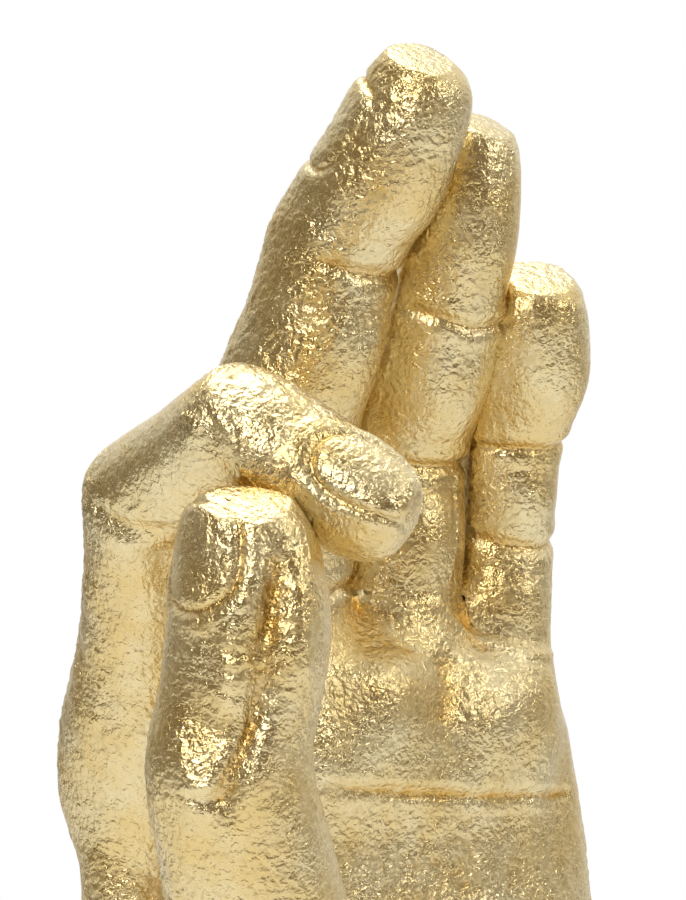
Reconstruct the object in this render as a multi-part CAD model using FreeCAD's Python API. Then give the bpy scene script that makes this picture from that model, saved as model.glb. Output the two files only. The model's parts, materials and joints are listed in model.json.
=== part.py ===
import FreeCAD, Part
import os
from math import cos, pi, radians, sin

# A life-size left hand in slip-cast ceramic, standing on its cut-off wrist.
# The palm faces -Y, the thumb is at -X and the fingers point to +Z. The origin
# is the middle of the oval foot, on the underside of its felt pad.
# Lengths are in millimetres and angles in degrees. A lean is measured from +Z,
# and a heading from -Y towards +X.

# Foot, felt and casting
FOOT_WIDTH = 70.0
FOOT_DEPTH = 56.0
FELT_THICKNESS = 2.0
FELT_INSET = 2.5
WALL = 5.0
POUR_HOLE = 24.0

# Wrist, heel and palm
WRIST_WIDTH = 57.0
WRIST_DEPTH = 42.0
WRIST_HEIGHT = 62.0
HEEL_WIDTH = 78.0
HEEL_DEPTH = 44.0
HEEL_HEIGHT = 94.0
PALM_WIDTH = 86.0
PALM_DEPTH = 32.0
PALM_HEIGHT = 162.0
WEB_HEIGHT = 13.0
WEB_TALL = 12.0
WEB_THICKNESS = 20.0
WEB_DROP = 7.0
CARPAL_SPREAD_SHARE = 0.55

# Index finger, bent over the thumb's tip
INDEX_PROXIMAL = 43.4
INDEX_MIDDLE = 21.7
INDEX_DISTAL = 25.6
INDEX_SEAM = 18.0
INDEX_KNUCKLE_WIDTH = 21.6
INDEX_MIDDLE_JOINT_WIDTH = 17.4
INDEX_END_JOINT_WIDTH = 16.4
INDEX_TIP_WIDTH = 14.2
INDEX_PAD_SHARE = 0.98
INDEX_BACK_SHARE = 1.04
INDEX_LEANS = (29.0, 62.0, 119.0)
INDEX_HEADINGS = (-33.0, -2.0, 32.0)
INDEX_PAD_HEADING = 13.0
INDEX_AXIS_TILT = 27.0
INDEX_PLACE_SHARES = (-0.381, 0.009, 1.005)

# Middle finger
MIDDLE_PROXIMAL = 43.3
MIDDLE_MIDDLE = 27.1
MIDDLE_DISTAL = 29.4
MIDDLE_SEAM = 20.5
MIDDLE_KNUCKLE_WIDTH = 22.0
MIDDLE_MIDDLE_JOINT_WIDTH = 19.4
MIDDLE_END_JOINT_WIDTH = 17.0
MIDDLE_TIP_WIDTH = 14.2
MIDDLE_PAD_SHARE = 1.00
MIDDLE_BACK_SHARE = 1.30
MIDDLE_LEANS = (5.0, 19.0, 34.0)
MIDDLE_HEADINGS = (52.0, 23.0, 17.0)
MIDDLE_PAD_HEADING = 12.0
MIDDLE_AXIS_TILT = 0.0
MIDDLE_PLACE_SHARES = (-0.134, 0.131, 1.011)

# Ring finger
RING_PROXIMAL = 40.8
RING_MIDDLE = 22.7
RING_DISTAL = 27.8
RING_SEAM = 21.5
RING_KNUCKLE_WIDTH = 20.0
RING_MIDDLE_JOINT_WIDTH = 17.4
RING_END_JOINT_WIDTH = 15.4
RING_TIP_WIDTH = 13.0
RING_PAD_SHARE = 1.02
RING_BACK_SHARE = 1.10
RING_LEANS = (4.0, 26.0, 14.0)
RING_HEADINGS = (70.0, 2.0, 6.0)
RING_PAD_HEADING = -2.0
RING_AXIS_TILT = 0.0
RING_PLACE_SHARES = (0.098, 0.090, 0.998)

# Little finger
LITTLE_PROXIMAL = 32.3
LITTLE_MIDDLE = 14.6
LITTLE_DISTAL = 26.4
LITTLE_SEAM = 19.0
LITTLE_KNUCKLE_WIDTH = 17.6
LITTLE_MIDDLE_JOINT_WIDTH = 14.8
LITTLE_END_JOINT_WIDTH = 14.2
LITTLE_TIP_WIDTH = 14.8
LITTLE_PAD_SHARE = 1.04
LITTLE_BACK_SHARE = 1.06
LITTLE_LEANS = (4.0, 13.0, 25.0)
LITTLE_HEADINGS = (58.0, -15.0, -16.0)
LITTLE_PAD_HEADING = -16.0
LITTLE_AXIS_TILT = 0.0
LITTLE_PLACE_SHARES = (0.293, 0.012, 0.975)

# Thumb, standing upright in front of the index finger
THUMB_METACARPAL = 62.6
THUMB_PROXIMAL = 33.8
THUMB_MIDDLE = 15.8
THUMB_DISTAL = 19.9
THUMB_SEAM = 5.0
THUMB_BALL_WIDTH = 40.0
THUMB_KNUCKLE_WIDTH = 24.6
THUMB_MIDDLE_JOINT_WIDTH = 21.0
THUMB_END_JOINT_WIDTH = 20.8
THUMB_TIP_WIDTH = 15.8
THUMB_PAD_SHARE = 0.94
THUMB_BACK_SHARE = 0.92
THUMB_LEANS = (18.0, 10.0, 1.0)
THUMB_HEADINGS = (-72.0, 33.0, -67.0)
THUMB_PAD_HEADING = 117.0
THUMB_AXIS_TILT = 0.0
THUMB_METACARPAL_LEAN = 31.4
THUMB_METACARPAL_HEADING = -41.0
THUMB_PLACE_SHARES = (-0.486, -1.234, 0.844)

# Nails, raised on the backs of the fingertips
THUMB_NAIL_LENGTH = 17.5
INDEX_NAIL_LENGTH = 13.5
MIDDLE_NAIL_LENGTH = 14.0
RING_NAIL_LENGTH = 12.5
LITTLE_NAIL_LENGTH = 11.0
NAIL_THICKNESS = 0.7
NAIL_WIDTH_SHARE = 0.76
NAIL_CUTICLE_SHARE = 0.24
NAIL_EDGE_SHARE = 0.10

# Skin between the thumb and the index finger
SKIN_FOLD_HEIGHT = 40.0
SKIN_FOLD_THICKNESS = 11.0
SKIN_FOLD_THUMB_SHARE = 0.66
SKIN_FOLD_INDEX_SHARE = 1.9
SKIN_FOLD_SHARES = [(0.00, 1.00), (0.25, 0.90), (0.50, 0.62), (0.75, 0.90), (1.00, 1.00)]

WEB_STATION_SHARES = [0.0, 0.25, 0.5, 0.75, 1.0]

FINGER_NAMES = ["index_finger", "middle_finger", "ring_finger", "little_finger"]

# One overrun serves all cuts.
OVERRUN = 5.0

# A skin is steered by this many control points around.
SECTION_POINTS = 12

# A skin has this many flat strips around, and this many rings for each row of
# control points. The power squares its ovals a little.
SKIN_SIDES = 20
RINGS_PER_ROW = 2
OVAL_POWER_SHARE = 0.88

# Digit stations from the seam to the tip: the phalanx and how far along it,
# then half width, pad depth and back depth as shares of the local half width.
FINGER_STATION_SHARES = [
    (0, 0.00, 1.00, 0.98, 0.94),
    (0, 0.30, 0.97, 1.10, 0.91),
    (0, 0.72, 0.97, 1.06, 0.92),
    (1, 0.00, 1.03, 0.90, 1.05),
    (1, 0.36, 0.96, 1.08, 0.92),
    (1, 0.72, 0.96, 1.06, 0.90),
    (2, 0.00, 1.01, 0.88, 0.98),
    (2, 0.28, 1.04, 1.08, 0.90),
    (2, 0.54, 1.04, 1.12, 0.86),
    (2, 0.76, 1.00, 1.02, 0.84),
    (2, 0.92, 0.87, 0.86, 0.80),
    (2, 1.00, 0.66, 0.60, 0.70),
    (2, 1.00, 0.42, 0.36, 0.46),
]

# Knuckle stations from inside the palm to the seam: the way from the knuckle
# as a share of the seam's distance, then half width, pad and back as above.
KNUCKLE_STATION_SHARES = [
    (-1.50, 0.50, 0.30, 0.50),
    (-0.95, 0.86, 0.60, 0.92),
    (-0.40, 0.98, 0.98, 1.16),
    (-0.08, 1.02, 1.20, 1.24),
    (0.36, 1.02, 1.28, 1.10),
    (0.80, 1.00, 1.18, 0.98),
]

# Stations of the thumb's ball from the wrist to the knuckle: the way along the
# metacarpal, then half width, pad and back as shares of the ball's half width.
BALL_STATION_SHARES = [
    (-0.22, 0.55, 0.55, 0.55),
    (0.02, 0.88, 0.90, 0.78),
    (0.28, 1.02, 1.06, 0.84),
    (0.54, 0.92, 0.98, 0.76),
    (0.80, 0.68, 0.70, 0.62),
]

# Palm levels from the foot to the webs: a named level and how far on to the
# next one, the sideways shift as a share of the width, the hollow of the palm,
# then width, front depth and back depth as shares of the level's own.
PALM_LEVEL_SHARES = [
    (0, 0.00, 0.00, 0.00, 1.00, 1.00, 1.00),
    (0, 0.08, 0.00, 0.00, 1.00, 1.00, 1.00),
    (0, 0.50, 0.00, 0.00, 0.97, 0.97, 0.97),
    (1, 0.00, 0.00, 0.04, 1.00, 1.00, 1.00),
    (1, 0.50, 0.00, 0.10, 1.00, 1.00, 0.98),
    (2, 0.00, 0.01, 0.24, 1.02, 1.02, 0.94),
    (2, 0.40, 0.01, 0.30, 1.05, 0.92, 0.96),
    (2, 0.68, 0.01, 0.22, 1.03, 0.74, 0.98),
    (2, 0.85, 0.00, 0.12, 0.99, 0.62, 0.98),
    (2, 0.95, -0.01, 0.04, 0.96, 0.79, 0.98),
    (3, 0.40, -0.02, 0.00, 0.92, 0.82, 0.92),
    (3, 1.00, -0.03, 0.00, 0.80, 0.62, 0.70),
]


def direction(lean, heading):
    """A unit vector that leans from +Z towards a compass heading."""
    tilt = radians(lean)
    turn = radians(heading)
    return FreeCAD.Vector(sin(tilt) * sin(turn), -sin(tilt) * cos(turn), cos(tilt))


def mix(low, high, share):
    """The value a share of the way from low to high."""
    return low + (high - low) * share


def squared(value):
    """A sine or cosine pushed outwards, which squares an oval a little."""
    if value < 0:
        return -((-value) ** OVAL_POWER_SHARE)
    return value ** OVAL_POWER_SHARE


def ring_row(centre, across, along, half_width, pad_depth, back_depth, hollow=0):
    """Control points of an oval square to its axis, with a hollow on its pad side."""
    side = (across - along * across.dot(along)).normalize()
    front = side.cross(along)
    # A smooth curve runs inside its control points by this much.
    inside = (2 + cos(2 * pi / SECTION_POINTS)) / 3
    row = []
    for step in range(SECTION_POINTS):
        turn = 2 * pi * step / SECTION_POINTS
        depth = back_depth
        if sin(turn) > 0:
            depth = pad_depth * (1 - hollow * sin(turn) ** 6)
        sideways = side * (half_width * squared(cos(turn)) / inside)
        row.append(centre + sideways + front * (depth * squared(sin(turn)) / inside))
    return row


def smooth_surface(rows):
    """A smooth surface over rows of control points, closed around each row."""
    around = len(rows[0])
    spans = len(rows) - 3
    poles = [[row[step] for row in rows] for step in range(around)]
    surface = Part.BSplineSurface()
    surface.buildFromPolesMultsKnots(
        poles, [1] * (around + 1), [4] + [1] * (spans - 1) + [4],
        list(range(around + 1)), list(range(spans + 1)), True, False, 3, 3)
    return surface


def skin(rows):
    """A solid over rows of control points, flat at the first and last row."""
    surface = smooth_surface(rows)
    around = len(rows[0])
    spans = len(rows) - 3
    rings = RINGS_PER_ROW * spans
    wires = []
    for ring in range(rings + 1):
        corners = [surface.value(around * side / SKIN_SIDES, spans * ring / rings)
                   for side in range(SKIN_SIDES)]
        wires.append(Part.Wire(Part.makePolygon(corners + corners[:1]).Edges))
    return Part.makeLoft(wires, True, True)


class Digit:
    """The axis of a finger or thumb, and its sections from seam to tip."""

    def __init__(self, place_shares, lengths, widths, seam, pad_share, back_share,
                 leans, headings, pad_heading, axis_tilt, nail_length):
        turn = radians(pad_heading)
        tilt = radians(axis_tilt)
        self.across = FreeCAD.Vector(cos(turn) * cos(tilt), sin(turn) * cos(tilt), sin(tilt))
        self.knuckle = FreeCAD.Vector(
            place_shares[0] * PALM_WIDTH, place_shares[1] * PALM_DEPTH,
            place_shares[2] * PALM_HEIGHT)
        carpal = FreeCAD.Vector(self.knuckle.x * CARPAL_SPREAD_SHARE, 0, HEEL_HEIGHT)
        self.metacarpal_way = (self.knuckle - carpal).normalize()
        self.lengths = lengths
        self.widths = widths
        self.seam = seam
        self.pad_share = pad_share
        self.back_share = back_share
        self.nail_length = nail_length
        self.ways = [direction(lean, turn) for lean, turn in zip(leans, headings)]
        self.joints = [self.knuckle]
        for way, length in zip(self.ways, lengths):
            self.joints.append(self.joints[-1] + way * length)

    def along(self, phalanx, share):
        """How far a station lies along its phalanx, the first one from the seam on."""
        start = self.seam / self.lengths[0] if phalanx == 0 else 0
        return mix(start, 1, share)

    def centre(self, phalanx, share):
        """The axis point of a station."""
        return self.joints[phalanx] + self.ways[phalanx] * (self.lengths[phalanx] * share)

    def row(self, centre, way, width, shares, extra=0):
        """Control points of one section, grown by an extra thickness."""
        half = width / 2
        wide, pad, back = shares
        return ring_row(
            centre, self.across, way, half * wide + extra,
            half * pad * self.pad_share + extra, half * back * self.back_share + extra)

    def rows(self, extra=0):
        """Control points of the whole digit, bent smoothly at its joints."""
        places = [(phalanx, self.along(phalanx, share))
                  for phalanx, share, *_ in FINGER_STATION_SHARES]
        centres = [self.centre(*place) for place in places]
        rows = []
        for spot, (phalanx, share) in enumerate(places):
            centre = centres[spot]
            way = self.ways[phalanx]
            if phalanx > 0 and share == 0:
                way = (self.ways[phalanx - 1] + way).normalize()
                centre = centre + (centre * 2 - centres[spot - 1] - centres[spot + 1]) / 4
            width = mix(self.widths[phalanx], self.widths[phalanx + 1], share)
            rows.append(self.row(centre, way, width, FINGER_STATION_SHARES[spot][2:], extra))
        return rows

    def knuckle_rows(self):
        """Control points of the knuckle, from inside the palm to the seam."""
        rows = []
        for share, wide, pad, back in KNUCKLE_STATION_SHARES:
            way = self.ways[0] if share > 0 else self.metacarpal_way
            centre = self.knuckle + way * (self.seam * share)
            rows.append(self.row(centre, way, self.widths[0], (wide, pad, back)))
        return rows + self.rows()[:1]

    def nail_prism(self):
        """A prism through the back of the fingertip with the outline of the nail."""
        way = self.ways[2]
        side = (self.across - way * self.across.dot(way)).normalize()
        back = way.cross(side)
        half = self.widths[3] / 2 * NAIL_WIDTH_SHARE
        tip = self.joints[3]
        root = tip - way * self.nail_length
        cuticle = way * (self.nail_length * NAIL_CUTICLE_SHARE)
        edge = way * (self.nail_length * NAIL_EDGE_SHARE)
        outline = Part.Wire([
            Part.Arc(root + cuticle - side * half, root, root + cuticle + side * half).toShape(),
            Part.LineSegment(root + cuticle + side * half, tip - edge + side * half).toShape(),
            Part.Arc(tip - edge + side * half, tip, tip - edge - side * half).toShape(),
            Part.LineSegment(tip - edge - side * half, root + cuticle - side * half).toShape(),
        ])
        return Part.Face(outline).extrude(back * (self.widths[3] + OVERRUN))

    def solid(self):
        """The digit from its flat seam to its blunt tip, with its nail."""
        finger = skin(self.rows())
        nail = skin(self.rows(NAIL_THICKNESS)).common(self.nail_prism())
        return finger.fuse(nail)


def make_digits():
    """The five digits by name."""
    return {
        "thumb": Digit(
            THUMB_PLACE_SHARES, (THUMB_PROXIMAL, THUMB_MIDDLE, THUMB_DISTAL),
            (THUMB_KNUCKLE_WIDTH, THUMB_MIDDLE_JOINT_WIDTH, THUMB_END_JOINT_WIDTH,
             THUMB_TIP_WIDTH),
            THUMB_SEAM, THUMB_PAD_SHARE, THUMB_BACK_SHARE, THUMB_LEANS,
            THUMB_HEADINGS, THUMB_PAD_HEADING, THUMB_AXIS_TILT, THUMB_NAIL_LENGTH),
        "index_finger": Digit(
            INDEX_PLACE_SHARES, (INDEX_PROXIMAL, INDEX_MIDDLE, INDEX_DISTAL),
            (INDEX_KNUCKLE_WIDTH, INDEX_MIDDLE_JOINT_WIDTH, INDEX_END_JOINT_WIDTH,
             INDEX_TIP_WIDTH),
            INDEX_SEAM, INDEX_PAD_SHARE, INDEX_BACK_SHARE, INDEX_LEANS,
            INDEX_HEADINGS, INDEX_PAD_HEADING, INDEX_AXIS_TILT, INDEX_NAIL_LENGTH),
        "middle_finger": Digit(
            MIDDLE_PLACE_SHARES, (MIDDLE_PROXIMAL, MIDDLE_MIDDLE, MIDDLE_DISTAL),
            (MIDDLE_KNUCKLE_WIDTH, MIDDLE_MIDDLE_JOINT_WIDTH, MIDDLE_END_JOINT_WIDTH,
             MIDDLE_TIP_WIDTH),
            MIDDLE_SEAM, MIDDLE_PAD_SHARE, MIDDLE_BACK_SHARE, MIDDLE_LEANS,
            MIDDLE_HEADINGS, MIDDLE_PAD_HEADING, MIDDLE_AXIS_TILT, MIDDLE_NAIL_LENGTH),
        "ring_finger": Digit(
            RING_PLACE_SHARES, (RING_PROXIMAL, RING_MIDDLE, RING_DISTAL),
            (RING_KNUCKLE_WIDTH, RING_MIDDLE_JOINT_WIDTH, RING_END_JOINT_WIDTH,
             RING_TIP_WIDTH),
            RING_SEAM, RING_PAD_SHARE, RING_BACK_SHARE, RING_LEANS,
            RING_HEADINGS, RING_PAD_HEADING, RING_AXIS_TILT, RING_NAIL_LENGTH),
        "little_finger": Digit(
            LITTLE_PLACE_SHARES, (LITTLE_PROXIMAL, LITTLE_MIDDLE, LITTLE_DISTAL),
            (LITTLE_KNUCKLE_WIDTH, LITTLE_MIDDLE_JOINT_WIDTH, LITTLE_END_JOINT_WIDTH,
             LITTLE_TIP_WIDTH),
            LITTLE_SEAM, LITTLE_PAD_SHARE, LITTLE_BACK_SHARE, LITTLE_LEANS,
            LITTLE_HEADINGS, LITTLE_PAD_HEADING, LITTLE_AXIS_TILT, LITTLE_NAIL_LENGTH),
    }


def palm_rows(wall=0):
    """Control points of the forearm and palm, drawn in by a wall thickness."""
    levels = [
        (FELT_THICKNESS, FOOT_WIDTH, FOOT_DEPTH),
        (WRIST_HEIGHT, WRIST_WIDTH, WRIST_DEPTH),
        (HEEL_HEIGHT, HEEL_WIDTH, HEEL_DEPTH),
        (PALM_HEIGHT, PALM_WIDTH, PALM_DEPTH),
        (PALM_HEIGHT + WEB_HEIGHT, PALM_WIDTH, PALM_DEPTH),
    ]
    up = FreeCAD.Vector(0, 0, 1)
    across = FreeCAD.Vector(1, 0, 0)
    rows = []
    for level, share, shift, hollow, wide, front, back in PALM_LEVEL_SHARES:
        low = levels[level]
        high = levels[level + 1]
        height, width, depth = [mix(a, b, share) for a, b in zip(low, high)]
        if wall and height > PALM_HEIGHT:
            break
        height = max(height, FELT_THICKNESS + wall)
        centre = FreeCAD.Vector(width * shift, 0, height)
        rows.append(ring_row(
            centre, across, up, width / 2 * wide - wall, depth / 2 * front - wall,
            depth / 2 * back - wall, hollow))
    return rows


def thumb_ball_rows(thumb):
    """Control points of the thumb's metacarpal and its ball of muscle."""
    way = direction(THUMB_METACARPAL_LEAN, THUMB_METACARPAL_HEADING)
    rows = []
    for share, wide, pad, back in BALL_STATION_SHARES:
        centre = thumb.knuckle - way * (THUMB_METACARPAL * (1 - share))
        rows.append(thumb.row(centre, way, THUMB_BALL_WIDTH, (wide, pad, back)))
    rows.append(thumb.row(thumb.knuckle, (way + thumb.ways[0]).normalize(),
                          THUMB_KNUCKLE_WIDTH, (1, 1, 1)))
    return rows + thumb.rows()[:1]


def skin_fold(thumb, index):
    """The fold of skin from the thumb's metacarpal to the index finger's."""
    way = direction(THUMB_METACARPAL_LEAN, THUMB_METACARPAL_HEADING)
    start = thumb.knuckle - way * (THUMB_METACARPAL * (1 - SKIN_FOLD_THUMB_SHARE))
    end = index.knuckle - index.metacarpal_way * (INDEX_SEAM * SKIN_FOLD_INDEX_SHARE)
    span = end - start
    along = FreeCAD.Vector(span).normalize()
    up = FreeCAD.Vector(0, 0, 1)
    half = SKIN_FOLD_HEIGHT / 2
    thin = SKIN_FOLD_THICKNESS / 2
    rows = []
    for share, tall in SKIN_FOLD_SHARES:
        centre = start + span * share
        rows.append(ring_row(centre, up, along, half * tall, thin, thin))
    return skin(rows)


def finger_web(finger, neighbour):
    """The web of skin that joins two fingers just below their seams."""
    start = finger.centre(0, finger.along(0, 0)) - finger.ways[0] * WEB_DROP
    end = neighbour.centre(0, neighbour.along(0, 0)) - neighbour.ways[0] * WEB_DROP
    span = end - start
    along = FreeCAD.Vector(span).normalize()
    up = FreeCAD.Vector(0, 0, 1)
    rows = [ring_row(start + span * share, up, along, WEB_TALL / 2,
                     WEB_THICKNESS / 2, WEB_THICKNESS / 2)
            for share in WEB_STATION_SHARES]
    return skin(rows)


def make_palm(digits):
    """The palm, knuckles, thumb ball and forearm stub as one hollow casting."""
    palm = skin(palm_rows())
    lumps = [skin(digits[name].knuckle_rows()) for name in FINGER_NAMES]
    fingers = [digits[name] for name in FINGER_NAMES]
    lumps += [finger_web(*pair) for pair in zip(fingers, fingers[1:])]
    lumps.append(skin(thumb_ball_rows(digits["thumb"])))
    lumps.append(skin_fold(digits["thumb"], digits["index_finger"]))
    for lump in lumps:
        palm = palm.fuse(lump)
    hollow = skin(palm_rows(WALL))
    pour = Part.makeCylinder(
        POUR_HOLE / 2, WALL + 2 * OVERRUN, FreeCAD.Vector(0, 0, FELT_THICKNESS - OVERRUN))
    return palm.cut(hollow.fuse(pour))


def make_felt():
    """An oval of felt under the foot."""
    foot = smooth_surface(palm_rows())
    inset = 1 - 2 * FELT_INSET / FOOT_WIDTH
    corners = []
    for side in range(SKIN_SIDES):
        corner = foot.value(SECTION_POINTS * side / SKIN_SIDES, 0)
        corners.append(FreeCAD.Vector(corner.x * inset, corner.y * inset, 0))
    outline = Part.Face(Part.makePolygon(corners + corners[:1]))
    return outline.extrude(FreeCAD.Vector(0, 0, FELT_THICKNESS))


def main():
    os.makedirs("parts", exist_ok=True)
    digits = make_digits()
    parts = {name: digit.solid() for name, digit in digits.items()}
    parts["ring_finger"] = parts["ring_finger"].cut(parts["middle_finger"])
    parts["little_finger"] = parts["little_finger"].cut(parts["ring_finger"])
    parts["thumb"] = parts["thumb"].cut(parts["index_finger"])
    palm = make_palm(digits)
    for name in digits:
        palm = palm.cut(parts[name])
    parts["palm_and_wrist"] = palm
    parts["felt_base_pad"] = make_felt()
    for name, shape in parts.items():
        print(name, shape.isValid(), len(shape.Solids), len(shape.Faces), round(shape.Volume))
        shape.exportStep("parts/" + name + ".step")


main()
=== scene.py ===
import json
import math

import bpy
import numpy as np
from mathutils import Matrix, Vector
from mathutils.bvhtree import BVHTree

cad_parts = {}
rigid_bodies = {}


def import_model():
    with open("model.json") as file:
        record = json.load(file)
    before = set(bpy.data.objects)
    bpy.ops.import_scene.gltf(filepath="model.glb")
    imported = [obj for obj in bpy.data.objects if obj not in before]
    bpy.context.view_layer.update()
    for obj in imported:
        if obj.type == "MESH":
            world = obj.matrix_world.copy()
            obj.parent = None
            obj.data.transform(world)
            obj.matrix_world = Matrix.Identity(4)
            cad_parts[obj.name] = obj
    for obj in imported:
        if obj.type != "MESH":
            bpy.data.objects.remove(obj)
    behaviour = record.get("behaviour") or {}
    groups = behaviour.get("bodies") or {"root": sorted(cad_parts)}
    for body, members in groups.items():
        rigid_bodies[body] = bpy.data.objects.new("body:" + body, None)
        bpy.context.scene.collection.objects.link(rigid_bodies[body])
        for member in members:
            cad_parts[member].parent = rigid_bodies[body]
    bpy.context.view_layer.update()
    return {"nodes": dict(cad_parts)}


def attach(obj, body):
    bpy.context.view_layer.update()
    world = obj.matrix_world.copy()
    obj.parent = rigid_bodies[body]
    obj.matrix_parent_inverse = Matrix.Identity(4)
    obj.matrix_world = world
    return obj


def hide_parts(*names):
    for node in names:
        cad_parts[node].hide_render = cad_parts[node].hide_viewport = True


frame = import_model()

# === The clay castings ===
# Each digit and the palm is its own hollow or solid casting of buff clay, luted at the root.
# Every casting is worked as clay together with the palm it springs from, so that the skin
# runs on over the seam, and is then cut back to its own side of the seam.

MM = 0.001
DIGITS = ("thumb", "index_finger", "middle_finger", "ring_finger", "little_finger")
PALM = "palm_and_wrist"
CASTINGS = (PALM,) + DIGITS
POUR_HOLE_RADIUS = 12.2 * MM
FOOT_BAND = 8 * MM
CLAY_GRAIN = 1.6 * MM
CLAY_SMOOTHING = 7
LUTE_LAP = 1.4 * MM
LUTE_SINK = 0.5 * MM
WELD = 0.01 * MM
RIM_TRIMS = 3


def deselect():
    if bpy.context.object and bpy.context.object.mode != "OBJECT":
        bpy.ops.object.mode_set(mode="OBJECT")
    bpy.ops.object.select_all(action="DESELECT")


def pick(piece):
    deselect()
    piece.select_set(True)
    bpy.context.view_layer.objects.active = piece


def apply_modifier(piece, kind, **settings):
    pick(piece)
    modifier = piece.modifiers.new(kind.title(), kind)
    for setting, value in settings.items():
        setattr(modifier, setting, value)
    bpy.ops.object.modifier_apply(modifier=modifier.name)


def refine(piece):
    apply_modifier(piece, "SUBSURF", levels=1, render_levels=1, subdivision_type="CATMULL_CLARK")


def points_of(piece):
    flat = np.empty(len(piece.data.vertices) * 3, np.float32)
    piece.data.vertices.foreach_get("co", flat)
    return flat.reshape(-1, 3).astype(float)


def normals_of(piece):
    flat = np.empty(len(piece.data.vertices) * 3, np.float32)
    piece.data.vertex_normals.foreach_get("vector", flat)
    return flat.reshape(-1, 3).astype(float)


def place_points(piece, points):
    piece.data.vertices.foreach_set("co", points.astype(np.float32).ravel())
    piece.data.update()


def select_faces(piece, chosen):
    """Goes into edit mode with just these faces selected."""
    pick(piece)
    bpy.ops.object.mode_set(mode="EDIT")
    bpy.ops.mesh.select_mode(type="FACE")
    bpy.ops.mesh.select_all(action="DESELECT")
    bpy.ops.object.mode_set(mode="OBJECT")
    piece.data.polygons.foreach_set("select", chosen)
    bpy.ops.object.mode_set(mode="EDIT")


def faces_touching(piece, marked, every=False):
    test = all if every else any
    return [test(marked[i] for i in polygon.vertices) for polygon in piece.data.polygons]


def outer_skin(node):
    """The outer skin of one casting, closed, without the cavity behind its pour hole."""
    source = frame["nodes"][node]
    piece = bpy.data.objects.new(node + "_clay", source.data.copy())
    bpy.context.scene.collection.objects.link(piece)
    piece.data.materials.clear()
    pick(piece)
    bpy.ops.object.mode_set(mode="EDIT")
    bpy.ops.mesh.select_mode(type="VERT")
    bpy.ops.mesh.select_all(action="SELECT")
    bpy.ops.mesh.remove_doubles(threshold=WELD)
    bpy.ops.object.mode_set(mode="OBJECT")
    if node == PALM:
        points = points_of(piece)
        from_axis = np.hypot(points[:, 0], points[:, 1])
        in_hole = (from_axis < POUR_HOLE_RADIUS) & (points[:, 2] < FOOT_BAND)
        select_faces(piece, faces_touching(piece, in_hole, every=True))
        bpy.ops.mesh.delete(type="FACE")
        bpy.ops.object.mode_set(mode="OBJECT")
        outermost = int(np.argmax(np.abs(points_of(piece)[:, 0])))
        select_faces(piece, [False] * len(piece.data.polygons))
        bpy.ops.mesh.select_mode(type="VERT")
        bpy.ops.object.mode_set(mode="OBJECT")
        piece.data.vertices[outermost].select = True
        bpy.ops.object.mode_set(mode="EDIT")
        bpy.ops.mesh.select_linked()
        bpy.ops.mesh.select_all(action="INVERT")
        bpy.ops.mesh.delete(type="VERT")
        bpy.ops.mesh.select_all(action="SELECT")
        bpy.ops.mesh.fill_holes(sides=0)
        bpy.ops.object.mode_set(mode="OBJECT")
    return piece


skins = {node: outer_skin(node) for node in CASTINGS}
trees = {node: BVHTree.FromPolygons([vertex.co for vertex in skin.data.vertices],
                                    [tuple(polygon.vertices) for polygon in skin.data.polygons])
         for node, skin in skins.items()}


def worked_clay(name, nodes):
    """Several skins joined, worked into one clay body and smoothed."""
    deselect()
    copies = []
    for node in nodes:
        copy = skins[node].copy()
        copy.data = skins[node].data.copy()
        bpy.context.scene.collection.objects.link(copy)
        copies.append(copy)
    for copy in copies:
        copy.select_set(True)
    bpy.context.view_layer.objects.active = copies[0]
    bpy.ops.object.join()
    piece = bpy.context.object
    piece.name = name
    apply_modifier(piece, "REMESH", mode="VOXEL", voxel_size=CLAY_GRAIN, adaptivity=0.0)
    apply_modifier(piece, "SMOOTH", factor=0.5, iterations=CLAY_SMOOTHING)
    refine(piece)
    return piece


def distances(node, points):
    return np.array([trees[node].find_nearest(Vector(p))[3] for p in points])


def cut_to_seam(piece, node, nodes):
    """Leaves only this casting's side of its seams, with a lap that goes under the neighbour."""
    points = points_of(piece)
    own = distances(node, points)
    others = np.min([distances(other, points) for other in nodes if other != node], axis=0)
    beyond = own - others
    normals = normals_of(piece)
    sink = np.clip(beyond / LUTE_LAP, 0, 1) * LUTE_SINK
    place_points(piece, points - normals * sink[:, None])
    select_faces(piece, faces_touching(piece, beyond > LUTE_LAP))
    bpy.ops.mesh.delete(type="FACE")
    # The cut edge is trimmed of single teeth, so that one clean ring is left to close.
    for _ in range(RIM_TRIMS):
        bpy.ops.mesh.select_mode(type="EDGE")
        bpy.ops.mesh.select_all(action="DESELECT")
        bpy.ops.mesh.select_non_manifold(extend=False)
        bpy.ops.object.mode_set(mode="OBJECT")
        rim = {edge.key for edge in piece.data.edges if edge.select}
        teeth = [sum(key in rim for key in polygon.edge_keys) >= 2 for polygon in piece.data.polygons]
        select_faces(piece, teeth)
        bpy.ops.mesh.delete(type="FACE")
        bpy.ops.mesh.select_all(action="SELECT")
        bpy.ops.mesh.delete_loose()
    bpy.ops.object.mode_set(mode="OBJECT")


bodies = {}
bodies[PALM] = worked_clay(PALM + "_skin", CASTINGS)
cut_to_seam(bodies[PALM], PALM, CASTINGS)
for digit in DIGITS:
    bodies[digit] = worked_clay(digit + "_skin", (PALM, digit))
    cut_to_seam(bodies[digit], digit, (PALM, digit))
    refine(bodies[digit])
for skin in skins.values():
    bpy.data.objects.remove(skin)

# === Folds, creases and pads ===
# The modeller pressed the joint creases, the palm's lines and the thumb's wrinkles into the
# leather-hard clay and left beads of slip where the fingers are luted on.

# Slip and size fill the skin out by this much (mm) all over.
SKIN_FULLNESS = 0.15
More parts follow.
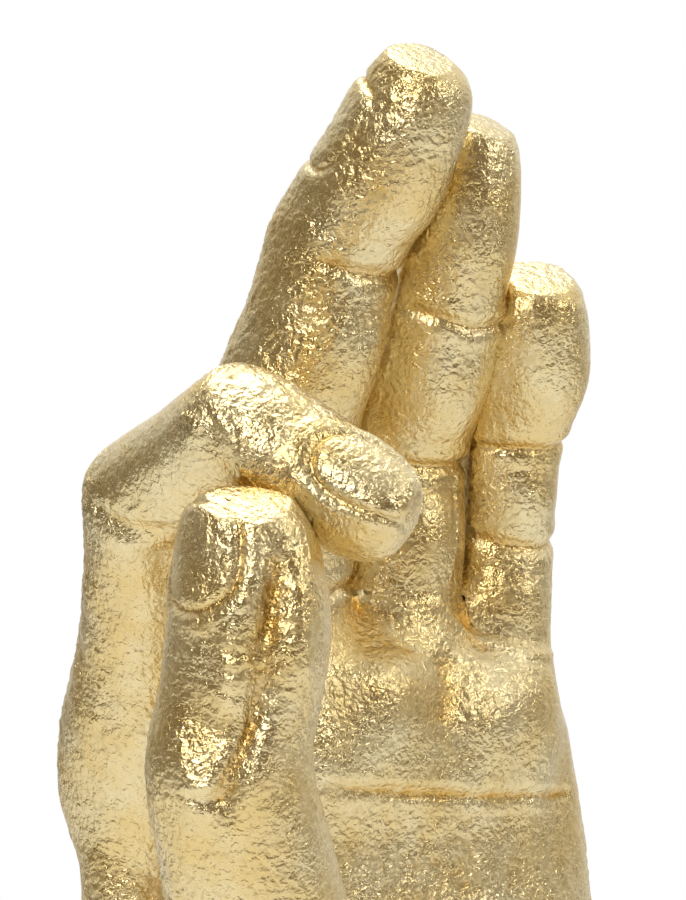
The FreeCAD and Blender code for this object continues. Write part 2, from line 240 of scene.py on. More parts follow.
# Each joint: place (mm), run of the bone through it, way its palm side faces, groove depth, half-width.
JOINT_FOLDS = {
    "middle_finger": [((-5.3, -6.1, 230.4), (0.10, -0.28, 1.0), (0.7, -1, -0.25), 0.6, 0.8),
                      ((-8.8, 2.0, 205.5), (0.05, -0.12, 1.0), (0.1, -1, -0.1), 0.5, 0.8),
                      ((-11.0, 4.0, 185.6), (0.05, -0.04, 1.0), (0.1, -1, 0), 0.55, 0.8)],
    "ring_finger": [((11.3, -8.4, 223.1), (0.01, -0.3, 1.0), (0, -1, -0.3), 0.5, 0.7),
                    ((11.0, 1.5, 202.9), (0.03, -0.2, 1.0), (0, -1, -0.2), 0.6, 0.8)],
    "little_finger": [((26.3, -4.0, 205.0), (-0.1, -0.25, 1.0), (0, -1, -0.2), 0.5, 0.7),
                      ((27.1, -0.8, 190.9), (0.03, -0.15, 1.0), (0, -1, -0.1), 0.5, 0.75)],
}
# Beads of slip squeezed out at the roots, on both sides of each seam: points (mm), height, half-width.
ROOT_BEADS = [
    ([(-14.0, -2.0, 185.5), (-9.0, -5.2, 185.3), (-3.9, -5.8, 184.9), (0.9, -3.2, 183.6),
      (2.3, -4.0, 183.2), (5.1, -6.0, 182.8), (11.3, -7.0, 182.6), (14.0, -6.8, 181.2)], 0.6, 0.6),
    ([(12.3, -7.1, 181.5), (15.5, -6.8, 178.8), (20.7, -7.0, 176.5), (23.5, -8.5, 175.1),
      (28.3, -9.0, 174.4), (33.0, -6.5, 174.6)], 0.6, 0.65)]
# Each swelling of flesh: middle on the skin (mm), reach up and down, reach across, height.
PADS = {
    "middle_finger": [((-2.5, -15.5, 240.0), 7.5, 6.5, 0.9),
                      ((-6.0, -8.0, 218.5), 7.5, 5.5, 0.8),
                      ((-9.0, -5.5, 195.5), 6.5, 5.5, 0.7)],
    "ring_finger": [((11.5, -17.0, 231.5), 6.0, 5.5, 0.6),
                    ((11.0, -10.0, 213.0), 6.5, 5.0, 0.8),
                    ((10.0, -7.5, 192.5), 6.5, 5.0, 0.8)],
    "little_finger": [((25.0, -14.0, 213.0), 5.5, 5.0, 0.6),
                      ((31.0, -13.0, 213.5), 9.0, 6.0, 1.3),
                      ((26.5, -9.0, 198.0), 4.8, 4.6, 0.6),
                      ((26.0, -8.5, 182.5), 5.5, 5.0, 0.6)],
    "palm_and_wrist": [((-1.0, -10.5, 172.0), 8.0, 7.0, 2.4),
                       ((20.0, -10.5, 168.0), 8.0, 7.0, 2.3),
                       ((32.0, -8.0, 164.0), 7.0, 5.0, 0.8)],
    "thumb": [((-47.0, -54.0, 188.0), 8.0, 5.0, 0.7),
              ((-44.0, -52.0, 160.0), 8.0, 5.0, 0.5)],
    "index_finger": [((-37.0, -52.0, 198.0), 5.0, 5.0, 0.5),
                     ((-50.0, -20.0, 193.0), 4.0, 5.0, 0.5)],
}
# Each knuckle seen from the back: place, run of the bone, way its back faces, wrinkle spacing, depth.
KNUCKLE_WRINKLES = {
    "middle_finger": [((-8.8, 2.0, 207.0), (0.08, -0.2, 1.0), (-0.1, 1, 0.2), 1.9, 0.42),
                      ((-5.3, -6.1, 232.6), (0.12, -0.4, 1.0), (-0.1, 1, 0.4), 1.5, 0.12)],
    "ring_finger": [((11.0, 1.5, 202.5), (0.02, -0.25, 1.0), (0, 1, 0.2), 1.8, 0.42),
                    ((11.3, -8.4, 222.9), (0.0, -0.35, 1.0), (0, 1, 0.35), 1.4, 0.26)],
    "little_finger": [((27.1, -0.8, 190.2), (0.0, -0.2, 1.0), (0, 1, 0.2), 1.6, 0.38),
                      ((26.3, -4.0, 204.5), (-0.08, -0.3, 1.0), (0, 1, 0.3), 1.3, 0.24)],
    "index_finger": [((-44.0, -16.8, 200.3), (-0.15, -0.75, 0.65), (-0.5, 0.45, 0.75), 1.8, 0.35),
                     ((-44.5, -35.9, 210.7), (0.2, -0.97, 0.1), (-0.3, -0.1, 0.95), 1.5, 0.3)],
    "thumb": [((-50.6, -43.5, 183.0), (0.0, -0.1, 1.0), (-0.85, -0.5, 0.0), 2.4, 0.08)],
}
# Drawn lines: points on the skin (mm), height (pressed in below zero), half-width.
DRAWN_LINES = {
    "palm_and_wrist": [
        ([(-15, -11.5, 160.6), (-6.4, -11.9, 159.0), (2.5, -11.6, 157.7), (13.7, -10.8, 156.4),
          (25.2, -10.0, 155.3), (34.5, -6.8, 154.2), (38.5, -2, 153.6)], -0.55, 0.65),
        ([(-15, -10.9, 163.4), (-6.4, -11.6, 161.9), (2.5, -11.4, 160.5), (13.7, -10.6, 159.1),
          (25.2, -9.8, 158.0), (34.5, -6.3, 156.8)], 0.4, 2.8),
        ([(10.5, -9.2, 176.5), (10.1, -10.4, 171.2), (7.4, -12.1, 166.0)], -0.45, 3.0),
        ([(-22, -17, 150), (-15, -17, 138), (-9, -17.5, 122), (-6, -18, 104), (-6, -18, 90)], -1.0, 1.3),
        ([(-24, -13, 152), (-8, -13, 147), (10, -13, 140), (26, -12, 131), (34, -8, 126)], -0.7, 1.1),
        ([(-27, -14, 66.5), (-12, -20.5, 65.0), (0, -21.5, 64.8), (12, -20.5, 65.2),
          (27, -12, 66.0)], -0.7, 1.0),
        ([(-26, -14, 62.5), (-12, -20.3, 60.8), (0, -21.3, 60.6), (12, -20.3, 61.0),
          (26, -12, 61.8)], -0.6, 0.9)],
    "thumb": [
        ([(-53.0, -53.0, 199.4), (-51.9, -53.8, 193.7), (-53.1, -53.9, 189.4), (-54.3, -53.7, 185.0),
          (-54.3, -53.4, 180.5), (-55.1, -52.4, 176.0), (-56.3, -51.7, 172.5), (-57.8, -50.7, 169.4),
          (-57.8, -50.0, 165.8), (-56.6, -49.1, 161.0)], -1.5, 1.6),
        ([(-57.0, -51.5, 176.5), (-58.5, -50.2, 171.5), (-59.0, -49.0, 166.8)], 0.6, 0.9),
        ([(-51.3, -53.7, 195.4), (-50.4, -54.7, 190.7), (-49.9, -55.2, 185.8),
          (-48.6, -54.4, 179.5)], 0.5, 1.5),
        ([(-58.2, -49.6, 184.6), (-56.9, -51.3, 184.0), (-55.7, -52.7, 184.6)], -0.2, 0.5),
        ([(-58.2, -49.6, 182.3), (-56.7, -51.3, 181.8), (-55.4, -52.8, 182.3)], -0.2, 0.5),
        ([(-58.0, -49.7, 179.6), (-56.6, -51.1, 179.1), (-55.4, -52.4, 179.6)], -0.2, 0.5),
        ([(-60.7, -45.7, 166.4), (-59.4, -48.1, 165.6), (-57.8, -50.1, 165.8)], -0.5, 0.7)],
    "index_finger": [
        ([(-54.5, -12.0, 201.6), (-53.2, -16.9, 200.0), (-51.5, -21.6, 197.4), (-49.6, -25.3, 197.2),
          (-48.4, -27.6, 197.5)], -0.45, 1.0),
        ([(-54.0, -14.0, 197.2), (-52.6, -19.0, 195.4), (-50.6, -23.0, 194.6)], 0.45, 1.4),
        ([(-49.7, -36.2, 216.7), (-51.2, -41.1, 212.8), (-50.5, -43.1, 208.6),
          (-49.1, -43.2, 204.5)], 0.5, 1.1)],
    "ring_finger": [
        ([(15.7, -5.7, 201.6), (15.1, -5.8, 196.7), (13.9, -6.4, 190.7), (12.9, -6.8, 184.5)], 0.35, 0.5)],
}
# Where neighbouring fingers lie against each other: points (mm), how far both swell, half-width.
FINGER_CONTACTS = {
    ("ring_finger", "little_finger"):
        ([(16.9, -12.6, 222.0), (17.1, -11.0, 216.3), (17.7, -9.8, 212.1), (18.4, -8.0, 208.5),
          (19.1, -6.2, 205.0), (18.0, -4.6, 198.0), (17.5, -3.5, 190.0), (17.0, -3.0, 184.0)], 0.7, 2.0),
    ("middle_finger", "ring_finger"):
        ([(4.0, -9.0, 229.9), (3.8, -8.0, 224.7), (3.7, -6.6, 221.3), (3.6, -4.2, 215.7),
          (3.3, -1.8, 211.5), (2.6, -0.5, 203.0), (1.8, 0.5, 194.0)], 0.8, 2.0),
}
# A fold reaches this far (mm) round and along its finger. Its lips stand beside it: share of the
# fold's depth, then distance and width in half-widths. A pressed line has lower, narrower lips.
FOLD_REACH, FOLD_RUN = 14, 9
FOLD_LIP, FOLD_LIP_AWAY, FOLD_LIP_WIDTH = 0.42, 2.6, 1.5
LINE_LIP, LINE_LIP_AWAY, LINE_LIP_WIDTH = 0.35, 2.4, 1.3
# A knuckle swells 1.5 times as high as its wrinkles are deep; both end this far (mm) from it.
KNUCKLE_SWELL, KNUCKLE_RUN, KNUCKLE_REACH = 1.5, 4.5, 19


def unit(direction):
    vector = np.array(direction, float)
    return vector / np.linalg.norm(vector)


def ease(value):
    value = np.clip(value, 0, 1)
    return value * value * (3 - 2 * value)


def away_from_line(points, line):
    """Distance of each point (mm) to a line of points, and its share of the way along."""
    line = np.array(line, float)
    best = np.full(len(points), 1e9)
    share = np.zeros(len(points))
    for step, (a, b) in enumerate(zip(line[:-1], line[1:])):
        run = b - a
        t = np.clip(((points - a) @ run) / (run @ run), 0, 1)
        gap = np.linalg.norm(points - a - t[:, None] * run, axis=1)
        nearer = gap < best
        best[nearer] = gap[nearer]
        share[nearer] = (step + t[nearer]) / (len(line) - 1)
    return best, share


def wander(points, pitch, seed):
    """A slow wave over the skin, from -1 to 1, to keep pressed lines from running dead straight."""
    rng = np.random.default_rng(seed)
    total = np.zeros(len(points))
    for _ in range(5):
        total += np.sin(points @ (rng.normal(size=3) / pitch * 2.5) + rng.uniform(0, 6.28))
    return total / 3


def sculpt(piece, node):
    """Lifts and presses the skin of one casting by everything in the tables above."""
    points = points_of(piece) / MM
    normals = normals_of(piece)
    lift = np.full(len(points), SKIN_FULLNESS)
    for number, (place, run, face, depth, width) in enumerate(JOINT_FOLDS.get(node, [])):
        run, face = unit(run), unit(face)
        off = points - np.array(place)
        along = off @ run + 0.5 * wander(points, 7, number) - 0.012 * (off @ np.cross(run, face)) ** 2
        round_it = np.linalg.norm(off - np.outer(off @ run, run), axis=1)
        near = (round_it < FOLD_REACH) & (np.abs(off @ run) < FOLD_RUN)
        palm_side = ease((normals @ face + 0.35) / 0.8) * near
        lift -= depth * np.exp(-(along / width) ** 2) * palm_side
        from_lip = (np.abs(along) - FOLD_LIP_AWAY * width) / (FOLD_LIP_WIDTH * width)
        lift += FOLD_LIP * depth * np.exp(-from_lip ** 2) * palm_side
    for pair, (line, height, width) in FINGER_CONTACTS.items():
        if node in pair:
            gap, _ = away_from_line(points, line)
            lift += height * np.exp(-(gap / width) ** 2)
    for place, tall, broad, height in PADS.get(node, []):
        off = points - np.array(place)
        flat = np.hypot(off[:, 0], off[:, 1])
        side = ease(1.6 - np.linalg.norm(off, axis=1) / (1.3 * max(tall, broad)))
        lift += height * np.exp(-(off[:, 2] / tall) ** 2 - (flat / broad) ** 2) * side
    for number, (place, run, face, pitch, depth) in enumerate(KNUCKLE_WRINKLES.get(node, [])):
        run, face = unit(run), unit(face)
        off = points - np.array(place)
        side = off @ np.cross(run, face)
        along = off @ run
        bow = along * (1 + 0.02 * side ** 2) + 0.6 * wander(points, 5, number + 20)
        near = np.exp(-(along / (2.1 * pitch)) ** 2) * (np.linalg.norm(off, axis=1) < KNUCKLE_REACH)
        back_side = ease((normals @ face + 0.1) / 0.7) * near
        lift += depth * (np.abs(np.sin(math.pi * bow / pitch)) ** 0.7 - 0.55) * back_side * 1.5
        lift += KNUCKLE_SWELL * depth * np.exp(-(along / KNUCKLE_RUN) ** 2) * back_side
    for number, (line, height, width) in enumerate(DRAWN_LINES.get(node, []) + ROOT_BEADS):
        gap, share = away_from_line(points, line)
        ends = ease(np.minimum(share, 1 - share) * 5 + 0.12)
        width_here = width * (1 + 0.25 * wander(points, 4, number + 40))
        lift += height * np.exp(-(gap / width_here) ** 2) * ends
        if height < 0:
            from_lip = (gap - LINE_LIP_AWAY * width) / (LINE_LIP_WIDTH * width)
            lift -= LINE_LIP * height * np.exp(-from_lip ** 2) * ends
    place_points(piece, (points + normals * lift[:, None]) * MM)


for node, body in bodies.items():
    sculpt(body, node)

# === Nails and blunt tips ===
# A modelled nail plate on each digit: a low pressed outline, cuticle end round, free end square.
# The tips are dabbed flat and stand as bright facets.

# Each nail: middle on the skin (mm), way it grows, way it faces, half-length, half-width.
NAILS = {
    "index_finger": ((-39.4, -55.2, 206.2), (0.62, -0.68, -0.38), (-0.24, -0.63, 0.73), 6.7, 4.7),
    "thumb": ((-58.8, -44.6, 196.0), (0.05, -0.02, 1.0), (-0.90, -0.42, 0.08), 6.5, 5.6),
    "middle_finger": ((-8.6, -10.6, 248.6), (0.18, -0.52, 0.84), (-0.12, 0.85, 0.51), 6.6, 4.8),
    "ring_finger": ((11.2, -4.0, 236.5), (0.03, -0.25, 0.97), (0.0, 0.97, 0.25), 6.4, 5.2),
    "little_finger": ((25.0, -1.6, 217.0), (-0.1, -0.40, 0.91), (-0.05, 0.92, 0.40), 5.6, 4.4),
}
NAIL_RISE = 0.45
NAIL_RIM = 0.50
NAIL_RIM_WIDTH = 0.48
# The cuticle's lip (height and distance, mm), the finger's radius under the nail, and how square
# the nail's two ends are, cuticle end first.
NAIL_LIP, NAIL_LIP_AWAY = 0.3, 1.7
NAIL_CURVE = 9.0
NAIL_ENDS = (2.3, 3.6)
# Each blunt tip: the way the flat faces, and how far (mm) it stands in from the end.
BLUNT_TIPS = {
    "thumb": [((-0.28, -0.42, 0.86), 1.9)],
    "middle_finger": [((-0.05, -0.42, 0.90), 1.3)],
    "ring_finger": [((0.10, -0.42, 0.90), 1.2)],
    "little_finger": [((-0.15, -0.40, 0.90), 1.2)],
}
# Each dabbed facet on a side: place (mm), way it faces, reach, how deep it cuts.
FACETS = {"thumb": [((-59.2, -48.8, 171.0), (-0.74, -0.62, 0.25), 6.0, 0.55)]}
# Share of what stands past the flat that the dab presses away.
TIP_PRESS, FACET_PRESS = 0.8, 0.85


def model_nail(piece, node):
    middle, grow, face, half_length, half_width = NAILS[node]
    points = points_of(piece) / MM
    normals = normals_of(piece)
    grow, face = unit(grow), unit(face)
    grow = unit(grow - face * (grow @ face))
    across = np.cross(face, grow)
    off = points - np.array(middle)
    turn = np.arctan2(off @ across, off @ face + NAIL_CURVE)
    u = (off @ grow) / half_length
    w = (turn * NAIL_CURVE) / half_width
    power = np.where(u < 0, *NAIL_ENDS)
    reach = (np.abs(u) ** power + np.abs(w) ** power) ** (1 / power)
    facing = ease((normals @ face + 0.1) / 0.4) * (np.linalg.norm(off, axis=1) < 2.2 * half_length)
    edge = (reach - 1) * min(half_length, half_width)
    plate = ease(0.5 - edge / 0.5) * NAIL_RISE * (0.75 + 0.25 * u)
    rim = -NAIL_RIM * np.exp(-((edge - 0.25) / NAIL_RIM_WIDTH) ** 2)
    lip = NAIL_LIP * np.exp(-(edge - NAIL_LIP_AWAY) ** 2) * ease((0.9 - u) / 0.6)
    place_points(piece, (points + normals * ((plate + rim + lip) * facing)[:, None]) * MM)


def blunt(piece, node):
    points = points_of(piece) / MM
    for face, stand_in in BLUNT_TIPS.get(node, []):
        face = unit(face)
        height = points @ face
        over = height - (height.max() - stand_in)
        points -= (np.maximum(over, 0) * TIP_PRESS)[:, None] * face
    for place, face, reach, depth in FACETS.get(node, []):
        face = unit(face)
        off = points - np.array(place)
        over = off @ face + depth
        near = ease(1.5 - np.linalg.norm(off, axis=1) / reach)
        points -= (np.maximum(over, 0) * FACET_PRESS * near)[:, None] * face
    place_points(piece, points * MM)


for digit in DIGITS:
    model_nail(bodies[digit], digit)
    blunt(bodies[digit], digit)

# === Crinkled leaf ===
# Loose gold leaf laid over coarse clay bridges the grain and crinkles: in calm and busy patches,
# weakest on the ring and little finger and flat on the nails. The recess value marks how far the
# skin lies under its neighbourhood. The leaf is painted a darker orange there: painted shade in the
# hollows and creases, on top of the leaf's own orange where it sank in and overlapped.

# Each layer of crinkle: texture, size (mm), swing (mm).
LEAF_LAYERS = (("lumps", "CLOUDS", 8.0, 0.55), ("dents", "VORONOI", 3.2, 0.15),
               ("crinkle", "DISTORTED_NOISE", 1.7, 0.18), ("grain", "CLOUDS", 0.9, 0.17))
# Share of the crinkle left in a calm patch, and the patches' pitch (mm) and seed.
CALM_SHARE = 0.3
PATCH_PITCH, PATCH_SEED = 15, 90
LEAF_SHARE = {"palm_and_wrist": 0.85, "thumb": 0.95, "index_finger": 0.85, "middle_finger": 0.95,
              "ring_finger": 0.6, "little_finger": 0.6}
LEAF_STRONGEST = 1.9
# A digit takes the palm's share at its root and its own beyond this run (mm).
SHARE_RUN = 9
SHARE_STEPS = 60
# Places where the leaf is worked harder (above zero) or laid flat: middle (mm), reach, change.
LEAF_PLACES = (((-54.0, -52.0, 192.0), 9.0, 0.35), ((-11.0, -6.0, 221.0), 9.0, 0.6),
               ((-8.0, -14.0, 243.0), 7.0, 0.3), ((-48.0, -40.0, 214.0), 8.0, 0.3),
               ((-59.2, -48.8, 171.0), 4.0, -0.8), ((14.0, -15.0, 238.0), 5.0, 0.3),
               ((14.0, -12.0, 142.0), 22.0, 1.3), ((-60.0, -30.0, 160.0), 12.0, 0.2),
               ((-50.0, -4.0, 182.0), 14.0, 0.8), ((-46.0, 2.0, 160.0), 14.0, 0.8),
               ((-39.4, -55.2, 206.2), 6.5, -1.0), ((-58.8, -44.6, 196.0), 6.0, -0.7),
               ((0.0, 22.0, 125.0), 36.0, 0.55), ((0.0, 0.0, 45.0), 40.0, 0.45))
# Recess: how far the skin lies under its neighbourhood, near by and wider, and the share of each.
RECESS_STEPS, RECESS_WIDE_STEPS = 14, 70
RECESS_SHARE, RECESS_WIDE_SHARE = 0.5, 0.4


def leaf_texture(name, kind, size):
    texture = bpy.data.textures.new(name, kind)
    texture.noise_scale = size * MM
    if kind == "CLOUDS":
        texture.noise_depth = 3
        texture.noise_basis = "IMPROVED_PERLIN"
    if kind == "VORONOI":
        texture.distance_metric = "DISTANCE"
    if kind == "DISTORTED_NOISE":
        texture.noise_basis = "IMPROVED_PERLIN"
        texture.noise_distortion = "BLENDER_ORIGINAL"
        texture.distortion = 1.4
    return texture


leaf_textures = [(leaf_texture(name, kind, size), swing) for name, kind, size, swing in LEAF_LAYERS]


def neighbour_mean(piece, values, steps):
    """Values spread over the skin, edge by edge."""
    ends = np.empty(len(piece.data.edges) * 2, np.int32)
    piece.data.edges.foreach_get("vertices", ends)
    a, b = ends[0::2], ends[1::2]
    count = np.bincount(a, minlength=len(values)) + np.bincount(b, minlength=len(values))
    for _ in range(steps):
        total = np.stack([np.bincount(a, column[b], len(values)) + np.bincount(b, column[a], len(values))
                          for column in values.T], axis=1)
        values = 0.5 * values + 0.5 * total / np.maximum(count, 1)[:, None]
    return values


for node, body in bodies.items():
    group = body.vertex_groups.new(name="crinkled")
    points = points_of(body)
    busy = np.clip(0.5 + 0.6 * wander(points / MM, PATCH_PITCH, PATCH_SEED), 0, 1)
    patchy = CALM_SHARE + (1 - CALM_SHARE) * busy
    for middle, reach, change in LEAF_PLACES:
        patchy += change * np.exp(-(np.linalg.norm(points / MM - np.array(middle), axis=1) / reach) ** 2)
    from_palm = ease(distances(PALM, points) / MM / SHARE_RUN) if node != PALM else 0
    share = LEAF_SHARE[PALM] + (LEAF_SHARE[node] - LEAF_SHARE[PALM]) * from_palm
    steps = np.round(np.clip(patchy * share / LEAF_STRONGEST, 0.05, 1) * SHARE_STEPS).astype(int)
    for step in np.unique(steps):
        group.add(np.flatnonzero(steps == step).tolist(), step / SHARE_STEPS, "REPLACE")
    for texture, swing in leaf_textures:
        apply_modifier(body, "DISPLACE", texture=texture, vertex_group="crinkled",
                       texture_coords="LOCAL", direction="NORMAL", mid_level=0.5,
                       strength=swing * LEAF_STRONGEST * MM)
    points = points_of(body)
    spread = neighbour_mean(body, points, RECESS_STEPS)
    sunk = ((spread - points) * normals_of(body)).sum(axis=1) / MM
    wide = neighbour_mean(body, points, RECESS_WIDE_STEPS)
    sunk_wide = ((wide - points) * normals_of(body)).sum(axis=1) / MM
    # Painted shade: the recess value darkens the leaf to orange in hollows and creases, besides the leaf's
    # own orange where it sank in.
    attribute = body.data.attributes.new("recess_shade", "FLOAT", "POINT")
    recess_shade = np.clip(0.5 + RECESS_SHARE * sunk + RECESS_WIDE_SHARE * sunk_wide, 0, 1)
    attribute.data.foreach_set("value", recess_shade.astype(np.float32))

# === Closing the castings ===
# Each casting is fired clay on its own, luted face to face to its neighbour with slip. It is
# closed at its seam face with a sharp rim, so that it is a whole piece by itself.

for node, body in bodies.items():
    pick(body)
    bpy.ops.object.mode_set(mode="EDIT")
    bpy.ops.mesh.select_mode(type="EDGE")
    bpy.ops.mesh.select_all(action="DESELECT")
    bpy.ops.mesh.select_non_manifold(extend=False)
    bpy.ops.mesh.mark_sharp()
    bpy.ops.mesh.select_all(action="SELECT")
    bpy.ops.mesh.fill_holes(sides=0)
    bpy.ops.object.mode_set(mode="OBJECT")
    bpy.ops.object.shade_smooth()
    body.name = node + "_gilt"

# === Gold leaf ===
# Imitation gold leaf, brushed down over red-brown size: bright pale and deeper gold in patches, and
# a darker orange in the hollows, partly leaf sunk into the pores and partly painted shade, with rubbed
# pin-holes and fine brushed wrinkles.

LEAF_PALE = (0.82, 0.69, 0.40, 1)
LEAF_GOLD = (0.78, 0.595, 0.265, 1)
# This orange is both the leaf sunk into the size and painted shade in hollows and creases.
LEAF_ORANGE_SHADE = (0.66, 0.38, 0.06, 1)
LEAF_RUBBED = (0.40, 0.27, 0.10, 1)
LEAF_ROUGHNESS_LOW = 0.17
LEAF_ROUGHNESS_HIGH = 0.36
# Sizes of each pattern, as repeats per metre.
GOLD_PATCHES, SMEARS, PIN_HOLES, PORES, GRAINS, WRINKLES = 90, 260, 480, 900, 1050, 1900


def new_material(name):
    material = bpy.data.materials.new(name)
    material.use_nodes = True
    return material, material.node_tree.nodes, material.node_tree.links


def noise(nodes, links, source, scale, detail, roughness=0.5, distortion=0.0):
    node = nodes.new("ShaderNodeTexNoise")
    node.inputs["Scale"].default_value = scale
    node.inputs["Detail"].default_value = detail
    node.inputs["Roughness"].default_value = roughness
    node.inputs["Distortion"].default_value = distortion
    links.new(source, node.inputs["Vector"])
    return node.outputs["Fac"]


def cells(nodes, links, source, scale):
    node = nodes.new("ShaderNodeTexVoronoi")
    node.inputs["Scale"].default_value = scale
    links.new(source, node.inputs["Vector"])
    return node.outputs["Distance"]


def bump(nodes, links, height, strength, distance, over=None):
    node = nodes.new("ShaderNodeBump")
    node.inputs["Strength"].default_value = strength
    node.inputs["Distance"].default_value = distance
    links.new(height, node.inputs["Height"])
    if over:
        links.new(over, node.inputs["Normal"])
    return node.outputs["Normal"]


def spread_out(nodes, links, source, low, high, to_low=0.0, to_high=1.0):
    node = nodes.new("ShaderNodeMapRange")
    node.inputs["From Min"].default_value = low
    node.inputs["From Max"].default_value = high
    node.inputs["To Min"].default_value = to_low
    node.inputs["To Max"].default_value = to_high
    links.new(source, node.inputs["Value"])
    return node.outputs["Result"]


def blend_colours(nodes, links, share, first, second):
    node = nodes.new("ShaderNodeMix")
    node.data_type = "RGBA"
    links.new(share, node.inputs["Factor"])
    for socket, value in ((node.inputs["A"], first), (node.inputs["B"], second)):
        if isinstance(value, tuple):
            socket.default_value = value
        else:
            links.new(value, socket)
    return node.outputs["Result"]


leaf, nodes, links = new_material("gold_leaf")
shader = nodes["Principled BSDF"]
shader.inputs["Metallic"].default_value = 1.0
place = nodes.new("ShaderNodeTexCoord").outputs["Object"]
recess_shade_input = nodes.new("ShaderNodeAttribute")
recess_shade_input.attribute_name = "recess_shade"
patches = noise(nodes, links, place, GOLD_PATCHES, 4, 0.6)
pale_share = spread_out(nodes, links, patches, 0.38, 0.62)
gold = blend_colours(nodes, links, pale_share, LEAF_PALE, LEAF_GOLD)
# Painted shade: the recess value turns hollows and creases a darker orange, partly the leaf's own orange.
orange_shade_share = spread_out(nodes, links, recess_shade_input.outputs["Fac"], 0.57, 1.0)
colour = blend_colours(nodes, links, orange_shade_share, gold, LEAF_ORANGE_SHADE)
rubbed = spread_out(nodes, links, cells(nodes, links, place, PIN_HOLES), 0.07, 0.13, 0.55, 0.0)
links.new(blend_colours(nodes, links, rubbed, colour, LEAF_RUBBED), shader.inputs["Base Color"])
smear = noise(nodes, links, place, SMEARS, 5, 0.65, 0.6)
links.new(spread_out(nodes, links, smear, 0.3, 0.72, LEAF_ROUGHNESS_LOW, LEAF_ROUGHNESS_HIGH),
          shader.inputs["Roughness"])
grain = noise(nodes, links, place, GRAINS, 2, 0.5, 0.4)
wrinkles = noise(nodes, links, place, WRINKLES, 4, 0.6, 0.8)
pits = spread_out(nodes, links, cells(nodes, links, place, PORES), 0.0, 0.28)
surface = bump(nodes, links, grain, 0.5, 0.7 * MM)
surface = bump(nodes, links, wrinkles, 0.22, 0.5 * MM, surface)
surface = bump(nodes, links, pits, 0.25, 0.3 * MM, surface)
links.new(surface, shader.inputs["Normal"])

for node, body in bodies.items():
    body.data.materials.clear()
    body.data.materials.append(leaf)
    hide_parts(node)
    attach(body, "root")

# === Felt pad ===
# A 2 mm oval of pressed wool felt, glued under the foot and a little smaller than it. It closes
# the pour hole and spares the shelf, and its cut edge is slightly rounded.

FELT_DARK = (0.030, 0.026, 0.024, 1)
FELT_LIGHT = (0.085, 0.078, 0.070, 1)
FELT_FIBRES = 1400
FELT_EDGE = 0.45 * MM
felt_node = frame["nodes"]["felt_base_pad"]
felt_piece = bpy.data.objects.new("felt_pad", felt_node.data.copy())
bpy.context.scene.collection.objects.link(felt_piece)
felt_piece.data.materials.clear()
pick(felt_piece)
bpy.ops.object.mode_set(mode="EDIT")
bpy.ops.mesh.select_all(action="SELECT")
bpy.ops.mesh.remove_doubles(threshold=WELD)
bpy.ops.mesh.dissolve_limited(angle_limit=math.radians(1))
bpy.ops.object.mode_set(mode="OBJECT")
apply_modifier(felt_piece, "BEVEL", width=FELT_EDGE, segments=3, limit_method="ANGLE",
               angle_limit=math.radians(50))
bpy.ops.object.shade_smooth_by_angle(angle=math.radians(35))
felt, nodes, links = new_material("pressed_felt")
shader = nodes["Principled BSDF"]
shader.inputs["Roughness"].default_value = 0.95
shader.inputs["Sheen Weight"].default_value = 0.35
place = nodes.new("ShaderNodeTexCoord").outputs["Object"]
fibres = noise(nodes, links, place, FELT_FIBRES, 6, 0.75, 2.5)
links.new(blend_colours(nodes, links, spread_out(nodes, links, fibres, 0.35, 0.65), FELT_DARK, FELT_LIGHT),
          shader.inputs["Base Color"])
links.new(bump(nodes, links, fibres, 0.6, 0.4 * MM), shader.inputs["Normal"])
felt_piece.data.materials.append(felt)
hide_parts("felt_base_pad")
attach(felt_piece, "root")

# === Studio ===
# White paper on a table, a large soft light high on the left, a weaker one on the right and one
# overhead, and a camera with a long lens, turned to the thumb side.

PAPER = (0.90, 0.90, 0.90, 1)
PAPER_SIZE = 1.2
PAPER_DROP = 0.2 * MM
# Share of plain white that the camera sees in the paper, which lights nothing.
PAPER_GLOW = 0.62
BACK_GREY = (0.5, 0.5, 0.5, 1)
WHITE = (1, 1, 1, 1)
ROOM_DARK = (0.17, 0.125, 0.075, 1)
ROOM_MIDDLE = (0.26, 0.22, 0.16, 1)
SWEEP_TOWARDS = (0.56, 0.45, 0.70)

deselect()
bpy.ops.mesh.primitive_plane_add(size=PAPER_SIZE, location=(0, 0, -PAPER_DROP))
floor = bpy.context.object
floor.name = "paper_floor"
paper, nodes, links = new_material("white_paper")
shader = nodes["Principled BSDF"]
shader.inputs["Roughness"].default_value = 0.9
shader.inputs["Base Color"].default_value = PAPER
glow = nodes.new("ShaderNodeEmission")
glow.inputs["Strength"].default_value = 1.0
seen = nodes.new("ShaderNodeLightPath")
share = nodes.new("ShaderNodeMath")
share.operation = "MULTIPLY"
share.inputs[1].default_value = PAPER_GLOW
links.new(seen.outputs["Is Camera Ray"], share.inputs[0])
paper_mix = nodes.new("ShaderNodeMixShader")
links.new(share.outputs[0], paper_mix.inputs["Fac"])
links.new(shader.outputs["BSDF"], paper_mix.inputs[1])
links.new(glow.outputs["Emission"], paper_mix.inputs[2])
links.new(paper_mix.outputs["Shader"], nodes["Material Output"].inputs["Surface"])
floor.data.materials.append(paper)

world = bpy.data.worlds.new("studio")
bpy.context.scene.world = world
world.use_nodes = True
nodes, links = world.node_tree.nodes, world.node_tree.links
back = nodes["Background"]
back.inputs["Color"].default_value = BACK_GREY
back.inputs["Strength"].default_value = 1.0
white = nodes.new("ShaderNodeBackground")
white.inputs["Color"].default_value = WHITE
white.inputs["Strength"].default_value = 1.0
way = nodes.new("ShaderNodeTexCoord").outputs["Generated"]
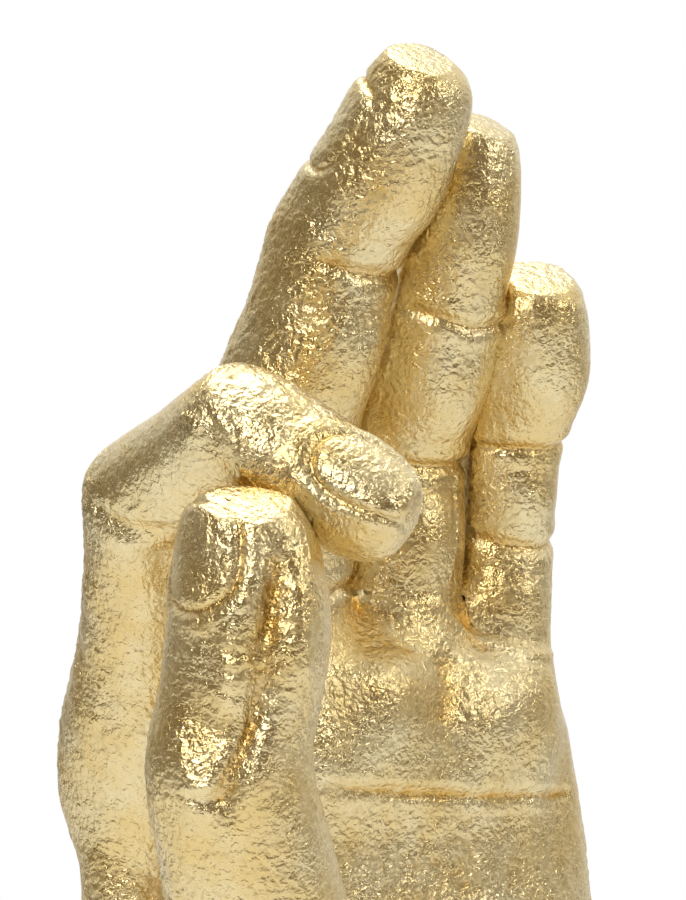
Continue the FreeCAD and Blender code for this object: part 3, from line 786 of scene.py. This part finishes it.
# Metal sees a bright sweep behind the piece and overhead, and a dim room on the camera's side.
room = nodes.new("ShaderNodeBackground")
room.inputs["Strength"].default_value = 1.0
sweep = nodes.new("ShaderNodeVectorMath")
sweep.operation = "DOT_PRODUCT"
sweep.inputs[1].default_value = SWEEP_TOWARDS
links.new(way, sweep.inputs[0])
shifted = nodes.new("ShaderNodeMapRange")
shifted.inputs["From Min"].default_value = -1.0
shifted.inputs["From Max"].default_value = 1.0
links.new(sweep.outputs["Value"], shifted.inputs["Value"])
ramp = nodes.new("ShaderNodeValToRGB")
ramp.color_ramp.elements[0].position = 0.12
ramp.color_ramp.elements[0].color = ROOM_DARK
ramp.color_ramp.elements[1].position = 0.90
ramp.color_ramp.elements[1].color = WHITE
middle = ramp.color_ramp.elements.new(0.60)
middle.color = ROOM_MIDDLE
links.new(shifted.outputs["Result"], ramp.inputs["Fac"])
links.new(ramp.outputs["Color"], room.inputs["Color"])
ray = nodes.new("ShaderNodeLightPath")
glossy_mix = nodes.new("ShaderNodeMixShader")
links.new(ray.outputs["Is Glossy Ray"], glossy_mix.inputs["Fac"])
links.new(back.outputs["Background"], glossy_mix.inputs[1])
links.new(room.outputs["Background"], glossy_mix.inputs[2])
camera_mix = nodes.new("ShaderNodeMixShader")
links.new(ray.outputs["Is Camera Ray"], camera_mix.inputs["Fac"])
links.new(glossy_mix.outputs["Shader"], camera_mix.inputs[1])
links.new(white.outputs["Background"], camera_mix.inputs[2])
links.new(camera_mix.outputs["Shader"], nodes["World Output"].inputs["Surface"])


def softbox(name, at, towards, width, height, power):
    lamp = bpy.data.lights.new(name, "AREA")
    lamp.shape = "RECTANGLE"
    lamp.size = width
    lamp.size_y = height
    lamp.energy = power
    holder = bpy.data.objects.new(name, lamp)
    holder.location = at
    holder.rotation_euler = (Vector(towards) - Vector(at)).to_track_quat("-Z", "Y").to_euler()
    bpy.context.scene.collection.objects.link(holder)


softbox("key_light", (-0.82, -0.38, 0.72), (0, 0, 0.2), 0.35, 0.35, 4.4)
softbox("front_light", (0.42, -0.84, 0.62), (0, 0, 0.18), 0.18, 0.22, 1.75)
softbox("top_light", (0.1, 0.25, 1.0), (0, 0, 0.2), 0.5, 0.5, 4)

AIM = Vector((0, 0, 0.204))
VIEW_TURN = math.radians(-38)
VIEW_LIFT = math.radians(4)
VIEW_REACH = 0.700
lens = bpy.data.cameras.new("camera")
lens.lens = 204.4
lens.sensor_width = 36
lens.sensor_fit = "AUTO"
camera = bpy.data.objects.new("camera", lens)
level = math.cos(VIEW_LIFT)
camera.location = AIM + VIEW_REACH * Vector((level * math.sin(VIEW_TURN), -level * math.cos(VIEW_TURN),
                                             math.sin(VIEW_LIFT)))
camera.rotation_euler = (AIM - camera.location).to_track_quat("-Z", "Y").to_euler()
bpy.context.scene.collection.objects.link(camera)
bpy.context.scene.camera = camera
bpy.context.scene.view_settings.view_transform = "Standard"
